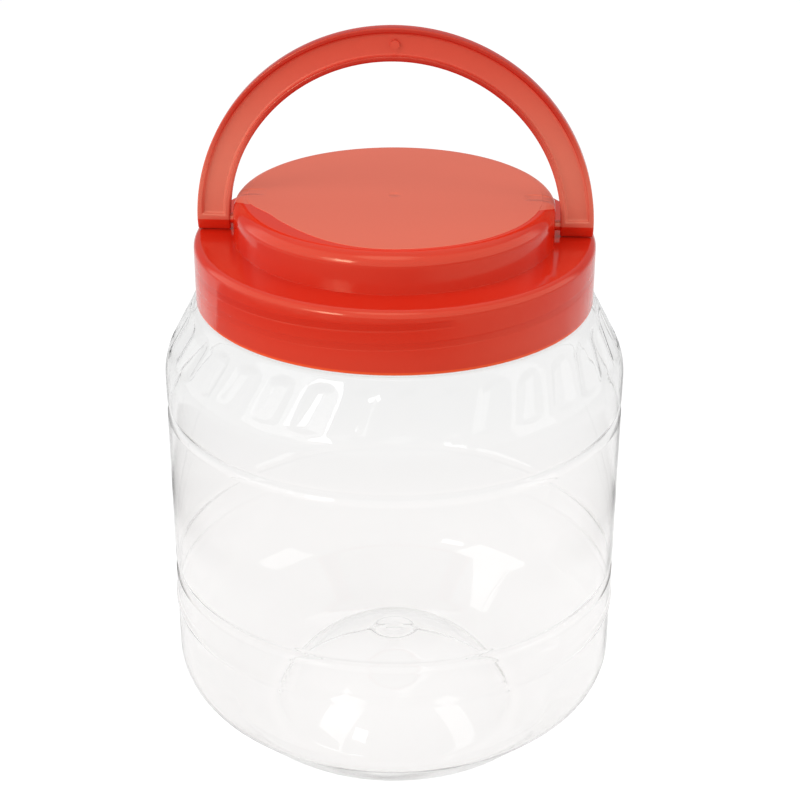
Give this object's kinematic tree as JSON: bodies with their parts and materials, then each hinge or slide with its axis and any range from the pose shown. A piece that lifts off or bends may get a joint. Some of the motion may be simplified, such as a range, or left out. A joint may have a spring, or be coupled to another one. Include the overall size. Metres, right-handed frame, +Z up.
{
  "type": "plastic storage jar",
  "caption": "Clear blown wide-mouth storage jar with a fluted shoulder, a screw lid with a raised crown, and a half-ring carrying handle that folds down round the crown.",
  "frame": {"origin": "centre of the foot ring, on the surface the jar stands on", "axes": "+Z up along the jar's axis, +X along the pivot axis of the handle"},
  "size_m": [0.15, 0.15, 0.2419],
  "materials": {
    "clear_body": "clear, glossy, blown",
    "liner": "soft foamed sheet",
    "lid_red": "glossy moulded, satin on top of the crown",
    "handle_red": "semi-gloss moulded"
  },
  "bodies": {
    "jar": {"jar": "clear_body"},
    "seal_liner": {"seal_liner": "liner"},
    "lid": {"lid": "lid_red"},
    "handle": {"handle": "handle_red"}
  },
  "joints": [
    {"name": "lid_lift", "type": "slide", "parent": "jar", "child": "seal_liner", "axis": [0, 0, 1], "range_m": [0, 0.024]},
    {"name": "lid_turn", "type": "hinge", "parent": "seal_liner", "child": "lid", "pos_m": [0, 0, 0.1735], "axis": [0, 0, 1], "range_deg": [0, 720]},
    {"name": "handle_swing", "type": "hinge", "parent": "lid", "child": "handle", "pos_m": [0, 0, 0.1794], "axis": [1, 0, 0], "range_deg": [-90, 90]}
  ],
  "couplings": [
    {"joint": "lid_lift", "follows": "lid_turn", "m_per_rad": 0.0019099}
  ]
}
